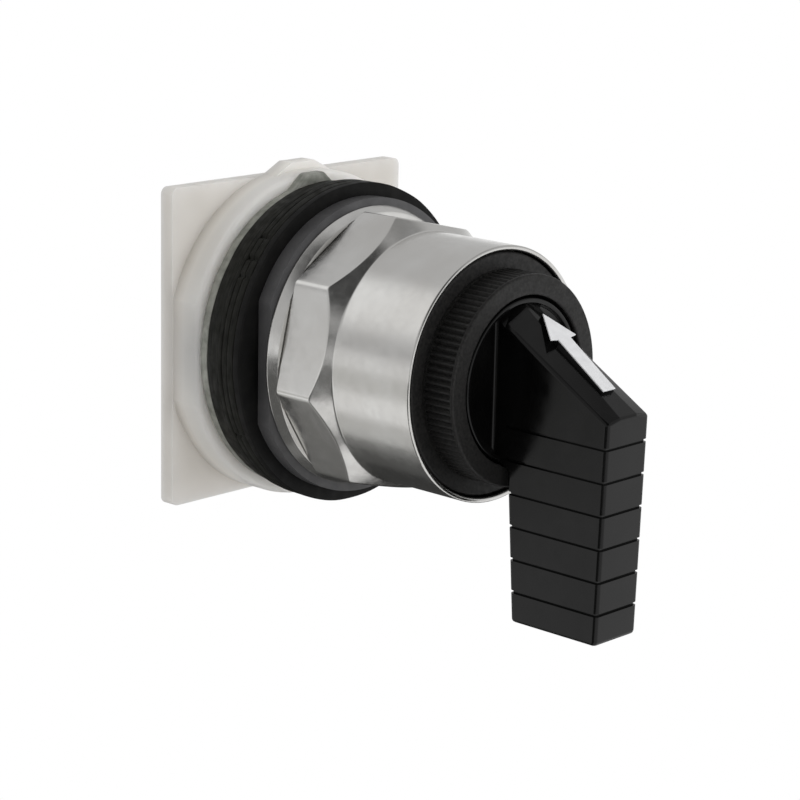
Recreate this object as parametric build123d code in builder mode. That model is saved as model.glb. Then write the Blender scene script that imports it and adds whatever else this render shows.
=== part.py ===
"""Selector switch head for a 30 mm panel hole: long lever, three positions.

Millimetres. The operator axis is Y, the lever faces -Y and +Z is up. The origin lies on the
axis, in the plane where the panel rests on the front face of the locating washer. A station
is a distance forward of that plane, so station s lies at y = -s.
"""
from build123d import *
from math import atan2, cos, degrees, hypot, radians, sin, sqrt, tan
import os

# Clearances
running = 0.03
sliding = 0.05
free = 0.3
axial_play = 0.1
cam_gap = 0.12

# Base plate and its round collar
plate_side = 44.0
plate_thickness = 2.3
plate_corner_r = 1.0
plate_floor = 3.2
collar_r = 22.9
collar_length = 4.8
collar_wall = 2.8
collar_across_flats = 43.6
collar_edge_r = 0.6
key_boss_rise = 1.0
key_boss_top_half = 2.2
key_boss_foot_half = 6.5
key_boss_length = 2.5

# Locating washer, with a tab outside and a key inside
washer_r = 21.0
washer_thickness = 1.3
tab_rise = 1.9
tab_top_half = 1.7
tab_foot_half = 4.2
tab_round_r = 1.0
key_width = 2.8
key_depth = 0.9
bore_clearance = 0.15

# Gaskets, from the panel forward to the trim washer
gasket_r = 22.25
rear_gasket_setback = 0.35
gasket_edge = 0.2
rear_gasket_thickness = 2.9
thin_spacer_thickness = 0.8
middle_spacer_thickness = 1.0
thick_spacer_thickness = 1.2
front_gasket_thickness = 1.2

# Trim washer with two flats
trim_washer_r = 20.4
trim_washer_thickness = 2.2
trim_washer_across_flats = 37.2

# Ring nut: flange, octagon and sleeve in one turned piece
flange_r = 19.4
flange_thickness = 1.7
flange_edge_r = 0.25
nut_sides = 8
nut_across_flats = 36.0
nut_length = 6.1
nut_turn = 9.4
nut_chamfer_angle = 48.0
sleeve_r = 17.2
sleeve_root_r = 0.8
sleeve_length = 13.5
sleeve_wall = 0.7
sleeve_lip_r = 0.3
nut_thread_length = 10.5

# Threaded neck, the fixed body of the head
neck_r = 15.0
neck_front_setback = 1.9
neck_flange_thickness = 3.9
mechanism_bore_r = 13.0
web_thickness = 7.2
front_recess_depth = 3.8
stop_rib_length = 6.0
stop_rib_half_angle = 5.0

# Bezel ring, screwed into the front of the neck
bezel_hole_r = 11.34
bezel_ring_r = 14.13
bezel_ring_length = 5.15
bezel_base_thickness = 1.5
bezel_base_r = 16.3
bezel_edge_r = 0.35
bezel_skirt_r = 12.8
bezel_skirt_length = 3.7
serration_count = 96
serration_depth = 0.5
serration_margin = 0.4

# Knob: disc, boss and lever in one moulding
disc_r = 11.0
disc_recess = 0.25
disc_thickness = 4.0
disc_edge_r = 0.3
boss_r = 6.6
lever_width = 7.4
lever_top_width = 4.8
lever_nose_width = 4.2
lever_top_z = 10.7
lever_rise = 2.0
nose_z = -1.1
nose_stand = 17.4
lever_bottom_z = -31.7
toe_stand = 16.3
heel_stand = 2.0
heel_top_stand = 0.85
side_edge_top_z = 8.4
side_edge_bottom_z = -2.2
lever_edge_r = 0.4
lever_root_r = 0.5
groove_count = 6
groove_first_z = -5.37
groove_pitch = 4.417
groove_width = 0.45
groove_depth = 0.38
groove_start_stand = 0.9

# White arrow let into the sloping face of the lever
arrow_start = 1.75
arrow_length = 13.75
arrow_head_length = 4.4
arrow_barb = 0.2
arrow_head_half = 2.2
arrow_shaft_half = 1.12
arrow_thickness = 0.6

# Operator shaft with its washer, seal, clip and screw
shaft_r = 5.0
shaft_collar_r = 7.0
shaft_collar_thickness = 1.5
tang_across_flats = 6.6
tang_r = 4.0
tang_length = 4.6
square_side = 7.0
stub_r = 3.4
stub_length = 3.9
thrust_washer_r = 10.0
thrust_washer_thickness = 0.8
seal_section = 1.8
seal_setback = 2.6
seal_edge = 0.2
ring_clip_r = 5.1
clip_thickness = 0.6
clip_groove_depth = 0.5
clip_mouth_half_angle = 35.0
screw_r = 1.5
screw_head_r = 2.55
screw_head_height = 1.6
screw_bite = 3.0
screw_socket_across = 1.9

# Cam hub: its rear face is tilted, so it pushes one plunger back and frees the other
travel_angle = 45.0
plunger_offset = 8.2
plunger_stroke = 2.0
hub_r = 10.8
hub_length = 10.0
hub_boss_r = 5.4
hub_boss_extra = 1.9
notch_r = 2.0
notch_depth = 0.8
stop_lug_r = 12.5
stop_lug_half_angle = 8.0
stop_lug_length = 4.0
stop_margin = 1.5

# Detent spring, a bowed strip with a nose that drops into the notches of the hub
strip_r = 12.3
strip_thickness = 0.35
strip_width = 5.0
strip_half_angle = 45.0
strip_nose_r = 1.2
strip_setback = 5.5

# Plunger guide, plungers and return springs
guide_thickness = 5.1
guide_floor = 2.6
guide_centre_r = 3.6
finger_wall = 1.4
finger_half_angle = 5.0
finger_end_gap = 0.3
plunger_r = 1.8
plunger_head_r = 2.55
plunger_head_thickness = 1.0
plunger_nose_length = 1.6
plunger_show = 1.6
plunger_tip_chamfer = 0.3
spring_pocket_r = 2.9
spring_wire_r = 0.22
spring_mean_r = 2.3
spring_turns = 4.5

# Fastenings in the neck flange, reached from behind
base_screw_r = 1.25
base_screw_head_r = 2.4
base_screw_length = 6.0
base_screw_slot = 0.6
contact_screw_r = 1.75
contact_screw_clear_r = 2.1

# Stations along the axis
collar_front = -washer_thickness
plate_front = collar_front - collar_length
plate_back = plate_front - plate_thickness
neck_back = plate_back + plate_floor
spacer_stack = thin_spacer_thickness + middle_spacer_thickness + thick_spacer_thickness
gasket_front = rear_gasket_thickness + spacer_stack + front_gasket_thickness
nut_back = gasket_front + trim_washer_thickness
nut_root = nut_back + flange_thickness
nut_front = nut_root + nut_length
sleeve_root = nut_front + (flange_r - sleeve_r) * tan(radians(nut_chamfer_angle))
sleeve_front = sleeve_root + sleeve_length
neck_front = sleeve_front - neck_front_setback
recess_floor = neck_front - front_recess_depth
web_back = recess_floor - web_thickness
bezel_base_front = neck_front + bezel_base_thickness
bezel_front = bezel_base_front + bezel_ring_length
disc_face = bezel_front - disc_recess
disc_back = disc_face - disc_thickness
boss_back = recess_floor + thrust_washer_thickness + axial_play
shaft_collar_front = web_back - axial_play
hub_front = shaft_collar_front - shaft_collar_thickness
hub_centre_back = hub_front - hub_length
hub_boss_back = hub_centre_back - hub_boss_extra
stub_back = hub_boss_back - stub_length
guide_front = neck_back + guide_thickness

# Radii that follow from their neighbours
collar_cavity_r = collar_r - collar_wall
neck_flange_r = collar_cavity_r - sliding
screw_circle_r = (mechanism_bore_r + neck_flange_r) / 2
ring_bore_r = neck_r + bore_clearance
finger_outer_r = mechanism_bore_r - free
finger_inner_r = finger_outer_r - finger_wall
seal_groove_r = shaft_r + running + seal_section + sliding


def station(distance):
    """The plane across the axis at a station, facing forward."""
    return Plane.XZ.offset(distance)


def polar(radius, angle):
    """A point in a plane across the axis, its angle counted from +X towards +Z."""
    return (radius * cos(radians(angle)), radius * sin(radians(angle)))


def keep(part, label):
    """Label a piece and write it under that name."""
    part.label = label
    export_step(part, f"parts/{label}.step")


def turned(*corners):
    """A turned piece; each corner is its radius, its station and its rounding."""
    points = [(radius, -distance) for radius, distance, _ in corners]
    roundings = [rounding for _, _, rounding in corners]
    with BuildPart() as piece:
        with BuildSketch(Plane.XY):
            with BuildLine():
                FilletPolyline(*points, radius=roundings, close=True)
            make_face()
        revolve(axis=Axis.Y)
    return piece.part


def flat_ring(outer_r, inner_r, back, thickness, edge=0.0):
    """A plain washer or gasket; edge is the bevel of its outer corners."""
    with BuildPart() as piece:
        with BuildSketch(station(back)):
            Circle(outer_r)
        extrude(amount=thickness)
        if edge:
            chamfer(piece.edges(), edge)
        with BuildSketch(station(back)):
            Circle(inner_r)
        extrude(amount=thickness, mode=Mode.SUBTRACT)
    return piece.part


def sector(inner_r, outer_r, middle, half_angle):
    """A piece of a ring, reaching half_angle degrees to each side of its middle."""
    start = middle - half_angle
    end = middle + half_angle
    with BuildSketch() as piece:
        with BuildLine():
            CenterArc((0, 0), outer_r, start, 2 * half_angle)
            CenterArc((0, 0), inner_r, start, 2 * half_angle)
            Line(polar(inner_r, start), polar(outer_r, start))
            Line(polar(inner_r, end), polar(outer_r, end))
        make_face()
    return piece.sketch


os.makedirs("parts", exist_ok=True)

# Base plate: a square moulded plate with a hollow collar that carries the neck flange
base_screw_places = [(screw_circle_r, 0), (-screw_circle_r, 0)]
contact_screw_places = [(0, screw_circle_r), (0, -screw_circle_r)]
plunger_places = [(-plunger_offset, 0), (plunger_offset, 0)]
boss_top_z = collar_r + key_boss_rise
boss_foot_z = sqrt(collar_r**2 - key_boss_foot_half**2) - free

with BuildPart() as base_plate:
    with BuildSketch(station(plate_back)):
        RectangleRounded(plate_side, plate_side, plate_corner_r)
    extrude(amount=plate_thickness)
    with BuildSketch(station(plate_front)):
        Circle(collar_r)
        Rectangle(collar_across_flats, 2 * collar_r, mode=Mode.INTERSECT)
    extrude(amount=collar_length)
    fillet(base_plate.faces().sort_by(Axis.Y)[0].edges(), collar_edge_r)
    with BuildSketch(station(plate_front)):
        Polygon(
            (-key_boss_foot_half, boss_foot_z), (-key_boss_top_half, boss_top_z),
            (key_boss_top_half, boss_top_z), (key_boss_foot_half, boss_foot_z), align=None,
        )
    extrude(amount=key_boss_length)
    with BuildSketch(station(neck_back)):
        Circle(collar_cavity_r)
    extrude(amount=collar_front - neck_back, mode=Mode.SUBTRACT)
    with BuildSketch(station(plate_back)):
        with Locations(*plunger_places):
            Circle(plunger_r + free)
        with Locations(*contact_screw_places):
            Circle(contact_screw_clear_r)
        with Locations(*base_screw_places):
            Circle(base_screw_r + bore_clearance)
        Circle(guide_centre_r)
    extrude(amount=plate_floor, mode=Mode.SUBTRACT)
    with BuildSketch(station(plate_back)):
        with Locations(*base_screw_places):
            Circle(base_screw_head_r + sliding)
    extrude(amount=base_screw_head_r - base_screw_r, taper=45, mode=Mode.SUBTRACT)
keep(base_plate.part, "base_plate")

# Countersunk screws that hold the plate to the neck flange
with BuildPart() as base_screws:
    with BuildSketch(station(plate_back)):
        with Locations(*base_screw_places):
            Circle(base_screw_head_r)
    extrude(amount=base_screw_head_r - base_screw_r, taper=45)
    with BuildSketch(station(plate_back)):
        with Locations(*base_screw_places):
            Circle(base_screw_r)
    extrude(amount=base_screw_length)
    with BuildSketch(station(plate_back)):
        with Locations(*base_screw_places):
            Rectangle(2 * base_screw_head_r, base_screw_slot)
    extrude(amount=base_screw_slot, mode=Mode.SUBTRACT)
keep(base_screws.part, "base_screws")

# Neck: flange behind the panel, threaded tube through it and a web that carries the shaft
seal_front = recess_floor - seal_setback
seal_back = seal_front - seal_section - sliding
neck_body = turned(
    (mechanism_bore_r, neck_back, 0),
    (neck_flange_r, neck_back, 0),
    (neck_flange_r, neck_back + neck_flange_thickness, 0),
    (neck_r, neck_back + neck_flange_thickness, 0),
    (neck_r, neck_front, sleeve_lip_r),
    (bezel_skirt_r + sliding, neck_front, 0),
    (bezel_skirt_r + sliding, recess_floor, 0),
    (shaft_r + running, recess_floor, 0),
    (shaft_r + running, seal_front, 0),
    (seal_groove_r, seal_front, 0),
    (seal_groove_r, seal_back, 0),
    (shaft_r + running, seal_back, 0),
    (shaft_r + running, web_back, 0),
    (mechanism_bore_r, web_back, 0),
)
rib_offset = travel_angle + stop_lug_half_angle + stop_margin + stop_rib_half_angle
rib_inner_r = hub_r + free
rib_outlines = [
    sector(rib_inner_r, mechanism_bore_r + free, 270 + side * rib_offset, stop_rib_half_angle)
    for side in (-1, 1)
]

with BuildPart() as neck_bushing:
    add(neck_body)
    with BuildSketch(station(neck_back)):
        with Locations(*contact_screw_places):
            Circle(contact_screw_r)
        with Locations(*base_screw_places):
            Circle(base_screw_r)
    extrude(amount=neck_flange_thickness, mode=Mode.SUBTRACT)
    with BuildSketch(station(collar_front)):
        with Locations((0, neck_r)):
            Rectangle(key_width + 2 * sliding, 2 * (key_depth + sliding))
    extrude(amount=nut_back - collar_front, mode=Mode.SUBTRACT)
    with BuildSketch(station(web_back - stop_rib_length)):
        add(rib_outlines)
    extrude(amount=stop_rib_length)
keep(neck_bushing.part, "neck_bushing")

# Locating washer: the tab sits in the notch of the panel, the key in the slot of the neck
tab_foot_z = sqrt(washer_r**2 - tab_foot_half**2) - free
tab_top_z = washer_r + tab_rise

with BuildPart() as locating_washer:
    with BuildSketch(station(collar_front)) as washer_outline:
        Polygon(
            (-tab_foot_half, tab_foot_z), (-tab_top_half, tab_top_z),
            (tab_top_half, tab_top_z), (tab_foot_half, tab_foot_z), align=None,
        )
        fillet(washer_outline.vertices().sort_by(Axis.Y)[-2:], tab_round_r)
        Circle(washer_r)
        Circle(ring_bore_r, mode=Mode.SUBTRACT)
        with Locations((0, neck_r)):
            Rectangle(key_width, 2 * key_depth)
    extrude(amount=washer_thickness)
keep(locating_washer.part, "locating_washer")

# Gasket stack: a thick rear gasket, three spacers and a front gasket
gasket_stack = {
    "panel_gasket": rear_gasket_thickness,
    "spacer_gasket_1": thin_spacer_thickness,
    "spacer_gasket_2": middle_spacer_thickness,
    "spacer_gasket_3": thick_spacer_thickness,
    "front_gasket": front_gasket_thickness,
}
gasket_back = 0.0
for label, thickness in gasket_stack.items():
    setback = rear_gasket_setback if label == "panel_gasket" else 0.0
    gasket = flat_ring(gasket_r - setback, ring_bore_r, gasket_back, thickness, gasket_edge)
    keep(gasket, label)
    gasket_back += thickness

# Trim washer between the gaskets and the nut
with BuildPart() as trim_washer:
    with BuildSketch(station(gasket_front)):
        Circle(trim_washer_r)
        Rectangle(trim_washer_across_flats, 2 * trim_washer_r, mode=Mode.INTERSECT)
        Circle(ring_bore_r, mode=Mode.SUBTRACT)
    extrude(amount=trim_washer_thickness)
keep(trim_washer.part, "trim_washer")

# Ring nut: one turned profile, then the eight flats
nut_thread_front = nut_back + nut_thread_length
sleeve_bore_r = sleeve_r - sleeve_wall
nut_body = turned(
    (neck_r + sliding, nut_back, 0),
    (flange_r, nut_back, flange_edge_r),
    (flange_r, nut_front, 0),
    (sleeve_r, sleeve_root, sleeve_root_r),
    (sleeve_r, sleeve_front, sleeve_lip_r),
    (sleeve_bore_r, sleeve_front, sleeve_lip_r),
    (sleeve_bore_r, nut_thread_front, 0),
    (neck_r + sliding, nut_thread_front, 0),
)

with BuildPart() as ring_nut:
    add(nut_body)
    with BuildSketch(station(nut_root)):
        Circle(nut_across_flats)
        RegularPolygon(
            nut_across_flats / 2, nut_sides, major_radius=False,
            rotation=nut_turn, mode=Mode.SUBTRACT,
        )
    extrude(amount=sleeve_root - nut_root, mode=Mode.SUBTRACT)
keep(ring_nut.part, "ring_nut")

# Bezel ring: skirt inside the neck, base on its front edge and a serrated ring round the knob
bezel_body = turned(
    (bezel_hole_r, neck_front - bezel_skirt_length, 0),
    (bezel_skirt_r, neck_front - bezel_skirt_length, 0),
    (bezel_skirt_r, neck_front, 0),
    (bezel_base_r, neck_front, 0),
    (bezel_base_r, bezel_base_front, bezel_edge_r),
    (bezel_ring_r, bezel_base_front, 0),
    (bezel_ring_r, bezel_front, bezel_edge_r),
    (bezel_hole_r, bezel_front, bezel_edge_r),
)

with BuildPart() as bezel_ring:
    add(bezel_body)
    with BuildSketch(station(bezel_base_front + serration_margin)):
        with PolarLocations(bezel_ring_r, serration_count):
            Rectangle(serration_depth, serration_depth, rotation=45)
    extrude(amount=bezel_ring_length - 2 * serration_margin, mode=Mode.SUBTRACT)
keep(bezel_ring.part, "bezel_ring")

# The sloping face of the lever, with its own axes: Y runs up the slope
slope_top = Vector(0, -(disc_face + lever_rise), lever_top_z)
slope_end = Vector(0, -(disc_face + nose_stand), nose_z)
slope_down = (slope_end - slope_top).normalized()
slope_out = Vector(-1, 0, 0).cross(slope_down)
slope_face = Plane(origin=slope_top, x_dir=(1, 0, 0), z_dir=slope_out)

# The arrow seen square to that face, its tip towards the top of the knob
arrow_barb_y = -arrow_start - arrow_head_length
arrow_notch_y = arrow_barb_y - arrow_barb
arrow_tail_y = -arrow_start - arrow_length
arrow_outline = [
    (0, -arrow_start), (arrow_head_half, arrow_barb_y), (arrow_shaft_half, arrow_notch_y),
    (arrow_shaft_half, arrow_tail_y), (-arrow_shaft_half, arrow_tail_y),
    (-arrow_shaft_half, arrow_notch_y), (-arrow_head_half, arrow_barb_y),
]

with BuildPart() as arrow_insert:
    with BuildSketch(slope_face):
        Polygon(*arrow_outline, align=None)
    extrude(amount=-arrow_thickness)
keep(arrow_insert.part, "arrow_insert")


# Knob: a lofted lever, trimmed to its side view and to the disc, then rounded and grooved
slope_fall = (lever_top_z - nose_z) / (nose_stand - lever_rise)
disc_edge_z = -sqrt(disc_r**2 - (lever_width / 2)**2)
heel_top_z = disc_edge_z - heel_top_stand


def lever_section(edge_z, ridge_width, ridge_z):
    """Cross-section of the lever: square flanks, then a bevel up to the ridge."""
    side = lever_width / 2
    ridge = ridge_width / 2
    Polygon(
        (-side, lever_bottom_z), (side, lever_bottom_z), (side, edge_z), (ridge, ridge_z),
        (-ridge, ridge_z), (-side, edge_z), align=None,
    )


def stand_between(z, low, high):
    """The stand-off at height z on the line between two (stand-off, height) corners."""
    return low[0] + (high[0] - low[0]) * (z - low[1]) / (high[1] - low[1])


nose = (nose_stand, nose_z)
toe = (toe_stand, lever_bottom_z)
heel = (heel_stand, lever_bottom_z)
heel_top = (heel_top_stand, heel_top_z)

disc_body = turned(
    (0, boss_back, 0), (boss_r, boss_back, 0), (boss_r, disc_back, 0), (disc_r, disc_back, 0),
    (disc_r, disc_face, disc_edge_r), (0, disc_face, 0),
)
with BuildPart() as root_fillets:
    with BuildSketch(Plane.XY.offset(-disc_r)) as root_outline:
        with Locations((0, -disc_face - lever_root_r / 2)):
            Rectangle(lever_width + 2 * lever_root_r, lever_root_r)
        with Locations(*[(side * (lever_width / 2 + lever_root_r), -disc_face - lever_root_r)
                         for side in (-1, 1)]):
            Circle(lever_root_r, mode=Mode.SUBTRACT)
    extrude(amount=2 * disc_r)
    with BuildSketch(station(disc_face)):
        Circle(disc_r - disc_edge_r)
    extrude(amount=lever_root_r, mode=Mode.INTERSECT)

with BuildPart() as knob:
    with BuildSketch(station(disc_face)):
        lever_section(side_edge_top_z, lever_top_width, lever_top_z + slope_fall * lever_rise)
    with BuildSketch(station(disc_face + nose_stand)):
        lever_section(side_edge_bottom_z, lever_nose_width, nose_z)
    loft(ruled=True)
    with BuildSketch(Plane.YZ.offset(-lever_width)):
        Polygon(
            (-disc_face, disc_r), (-(disc_face + nose_stand), disc_r),
            (-(disc_face + nose_stand), nose_z), (-(disc_face + toe_stand), lever_bottom_z),
            (-(disc_face + heel_stand), lever_bottom_z),
            (-(disc_face + heel_top_stand), heel_top_z), (-disc_face, disc_edge_z), align=None,
        )
    extrude(amount=2 * lever_width, mode=Mode.INTERSECT)
    with BuildSketch(station(disc_face)):
        Circle(disc_r)
        with Locations((0, lever_bottom_z / 2)):
            Rectangle(lever_width, -lever_bottom_z)
    extrude(amount=2 * nose_stand, mode=Mode.INTERSECT)
    fillet(knob.edges().filter_by(lambda edge: edge.center().Y < -disc_face - axial_play),
           lever_edge_r)
    extrude(knob.faces().sort_by(Axis.Y)[-1], amount=disc_edge_r)

    # Grooves round the lever; those beside the disc stay open towards it
    for number in range(groove_count):
        z = groove_first_z - number * groove_pitch
        front = disc_face + stand_between(z, toe, nose)
        rear = disc_face + stand_between(z, heel, heel_top)
        beside_disc = z > heel_top_z
        groove_rear = disc_face + groove_start_stand if beside_disc else rear - free
        core_rear = groove_rear if beside_disc else rear + groove_depth
        with BuildSketch(Plane.XY.offset(z - groove_width / 2)):
            with Locations((0, -(groove_rear + front + free) / 2)):
                Rectangle(lever_width + 2 * free, front + free - groove_rear)
            with Locations((0, -(core_rear + front - groove_depth) / 2)):
                Rectangle(lever_width - 2 * groove_depth, front - groove_depth - core_rear,
                          mode=Mode.SUBTRACT)
        extrude(amount=groove_width, mode=Mode.SUBTRACT)

    # Disc with its boss, and the rounded roots of the lever on it
    add(disc_body)
    add(root_fillets.part)

    # Socket for the shaft, pilot hole for its screw and pocket for the arrow
    with BuildSketch(station(boss_back)):
        Circle(tang_r + sliding)
        Rectangle(tang_across_flats + 2 * sliding, 2 * tang_r + free, mode=Mode.INTERSECT)
    extrude(amount=tang_length + axial_play, mode=Mode.SUBTRACT)
    with BuildSketch(station(boss_back + tang_length)):
        Circle(screw_r)
    extrude(amount=screw_bite + free, mode=Mode.SUBTRACT)
    with BuildSketch(slope_face):
        Polygon(*arrow_outline, align=None)
    extrude(amount=-arrow_thickness, mode=Mode.SUBTRACT)
keep(knob.part, "knob")

# Operator shaft: tang, journal, collar, square and rear stub, bored for the knob screw
screw_seat = stub_back + screw_head_height + free
screw_front = boss_back + tang_length + screw_bite
clip_back = hub_boss_back - clip_thickness
groove_back = clip_back - sliding

with BuildPart() as operator_shaft:
    with BuildSketch(station(shaft_collar_front)):
        Circle(shaft_r)
    extrude(amount=boss_back - shaft_collar_front)
    with BuildSketch(station(boss_back)):
        Circle(tang_r)
        Rectangle(tang_across_flats, 2 * tang_r, mode=Mode.INTERSECT)
    extrude(amount=tang_length)
    with BuildSketch(station(hub_front)):
        Circle(shaft_collar_r)
    extrude(amount=shaft_collar_thickness)
    with BuildSketch(station(hub_boss_back)):
        Rectangle(square_side, square_side)
    extrude(amount=hub_front - hub_boss_back)
    with BuildSketch(station(stub_back)):
        Circle(stub_r)
    extrude(amount=stub_length)
    with BuildSketch(station(groove_back)):
        Circle(stub_r + free)
        Circle(stub_r - clip_groove_depth, mode=Mode.SUBTRACT)
    extrude(amount=hub_boss_back - groove_back, mode=Mode.SUBTRACT)
    with BuildSketch(station(stub_back)):
        Circle(screw_head_r + sliding)
    extrude(amount=screw_seat - stub_back, mode=Mode.SUBTRACT)
    with BuildSketch(station(stub_back)):
        Circle(screw_r + bore_clearance)
    extrude(amount=screw_front - stub_back, mode=Mode.SUBTRACT)
keep(operator_shaft.part, "operator_shaft")

# Screw that draws the knob onto the shaft
with BuildPart() as knob_screw:
    with BuildSketch(station(screw_seat - screw_head_height)):
        Circle(screw_head_r)
    extrude(amount=screw_head_height)
    with BuildSketch(station(screw_seat)):
        Circle(screw_r)
    extrude(amount=screw_front - screw_seat)
    with BuildSketch(station(screw_seat - screw_head_height)):
        RegularPolygon(screw_socket_across / 2, 6, major_radius=False)
    extrude(amount=screw_head_height / 2, mode=Mode.SUBTRACT)
keep(knob_screw.part, "knob_screw")

# Seal in the web and thrust washer on its front face
keep(flat_ring(shaft_r + running + seal_section, shaft_r + running, seal_back + sliding / 2,
               seal_section, seal_edge), "shaft_seal")
keep(flat_ring(thrust_washer_r, shaft_r + bore_clearance, recess_floor, thrust_washer_thickness),
     "thrust_washer")

# Clip that holds the hub on the square
clip_mouth = [(0, 0), polar(2 * ring_clip_r, 270 - clip_mouth_half_angle),
              polar(2 * ring_clip_r, 270 + clip_mouth_half_angle)]
with BuildPart() as retaining_clip:
    with BuildSketch(station(clip_back)):
        Circle(ring_clip_r)
        Circle(stub_r - clip_groove_depth + sliding, mode=Mode.SUBTRACT)
        Polygon(*clip_mouth, align=None, mode=Mode.SUBTRACT)
    extrude(amount=clip_thickness)
keep(retaining_clip.part, "retaining_clip")

# Cam hub: a cylinder cut by a tilted plane, with three notches and a stop lug
cam_slope = plunger_stroke / (plunger_offset * sin(radians(travel_angle)))
cam_face = Plane(origin=(0, -hub_centre_back, 0), z_dir=(0, -1, cam_slope))
hub_tail = hub_centre_back - cam_slope * hub_r - free
stop_lug = sector(hub_r - free, stop_lug_r, 270, stop_lug_half_angle)

with BuildPart() as cam_hub:
    with BuildSketch(station(hub_tail)):
        Circle(hub_r)
    extrude(amount=hub_front - hub_tail)
    split(bisect_by=cam_face, keep=Keep.TOP)
    with BuildSketch(station(hub_boss_back)):
        Circle(hub_boss_r)
    extrude(amount=hub_front - hub_boss_back)
    with BuildSketch(station(hub_front - stop_lug_length)):
        add(stop_lug)
    extrude(amount=stop_lug_length)
    with BuildSketch(station(hub_tail)):
        with PolarLocations(hub_r + notch_r - notch_depth, 3, 90 - travel_angle,
                            2 * travel_angle, endpoint=True):
            Circle(notch_r)
    extrude(amount=hub_front - hub_tail, mode=Mode.SUBTRACT)
    with BuildSketch(station(hub_boss_back)):
        Rectangle(square_side + 2 * sliding, square_side + 2 * sliding)
    extrude(amount=hub_front - hub_boss_back, mode=Mode.SUBTRACT)
keep(cam_hub.part, "cam_hub")

# Detent spring: two bowed arms and a round nose over the middle notch
strip_front = hub_front - strip_setback
nose_floor_r = hub_r - notch_depth + axial_play + strip_thickness / 2
nose_centre_z = nose_floor_r + strip_nose_r
nose_top_z = (strip_r**2 - strip_nose_r**2 + nose_centre_z**2) / (2 * nose_centre_z)
nose_half = sqrt(strip_r**2 - nose_top_z**2)
nose_angle = degrees(atan2(nose_half, nose_top_z))
arm_middle = (strip_half_angle + nose_angle) / 2

with BuildPart() as detent_spring:
    with BuildSketch(station(strip_front - strip_width)):
        with BuildLine():
            for side in (-1, 1):
                ThreePointArc(
                    (side * nose_half, nose_top_z), polar(strip_r, 90 - side * arm_middle),
                    polar(strip_r, 90 - side * strip_half_angle),
                )
            ThreePointArc((-nose_half, nose_top_z), (0, nose_floor_r), (nose_half, nose_top_z))
        trace(line_width=strip_thickness)
    extrude(amount=strip_width)
keep(detent_spring.part, "detent_spring")

# Plunger guide: a bored disc with two fingers that carry the ends of the detent spring
finger_gap_angle = degrees(finger_end_gap / strip_r)
finger_offset = strip_half_angle + finger_gap_angle + finger_half_angle
finger_outlines = [
    sector(finger_inner_r, finger_outer_r, 90 + side * finger_offset, finger_half_angle)
    for side in (-1, 1)
]

with BuildPart() as plunger_guide:
    with BuildSketch(station(neck_back)):
        Circle(mechanism_bore_r - sliding)
        Circle(guide_centre_r, mode=Mode.SUBTRACT)
        with Locations(*plunger_places):
            Circle(plunger_r + sliding, mode=Mode.SUBTRACT)
    extrude(amount=guide_thickness)
    with BuildSketch(station(neck_back + guide_floor)):
        with Locations(*plunger_places):
            Circle(spring_pocket_r)
    extrude(amount=guide_thickness - guide_floor, mode=Mode.SUBTRACT)
    with BuildSketch(station(guide_front)):
        add(finger_outlines)
    extrude(amount=strip_front - guide_front)
keep(plunger_guide.part, "plunger_guide")

# Plungers: the domed nose follows the cam, the rear end stands out of the plate
nose_centre = hub_centre_back - (plunger_r + cam_gap) * hypot(1, cam_slope)
head_front = nose_centre - plunger_nose_length
head_back = head_front - plunger_head_thickness
plunger_tail = plate_back - plunger_show
pocket_floor = neck_back + guide_floor
spring_back = pocket_floor + spring_wire_r
spring_height = head_back - spring_wire_r - spring_back

for name, place in zip(("left", "right"), plunger_places):
    with BuildPart() as plunger:
        with BuildSketch(station(plunger_tail)):
            with Locations(place):
                Circle(plunger_r)
        extrude(amount=nose_centre - plunger_tail)
        with Locations((place[0], -nose_centre, place[1])):
            Sphere(plunger_r)
        with BuildSketch(station(head_back)):
            with Locations(place):
                Circle(plunger_head_r)
        extrude(amount=plunger_head_thickness)
        chamfer(plunger.edges().sort_by(Axis.Y)[-1], plunger_tip_chamfer)
    keep(plunger.part, f"plunger_{name}")

    with BuildPart() as return_spring:
        with BuildLine() as coil:
            Helix(spring_height / spring_turns, spring_height, spring_mean_r,
                  center=(place[0], -spring_back, place[1]), direction=(0, -1, 0))
        with BuildSketch(Plane(origin=coil.line @ 0, z_dir=coil.line % 0)):
            Circle(spring_wire_r)
        sweep(path=coil.line, is_frenet=True)
    keep(return_spring.part, f"return_spring_{name}")
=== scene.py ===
"""Look of the selector switch head: fine surfaces, materials, light and camera.

The frame is the model's own: the operator axis is Y, the lever faces -Y and +Z is up.
Shapes are worked out in millimetres and made in metres; the floor and its flags are in metres.
A station is a distance forward of the panel, along -Y.
"""

import random
from math import cos, degrees, exp, log, pi, radians, sin, sqrt, tan

import bmesh
import bpy
from mathutils import Matrix, Vector


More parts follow.
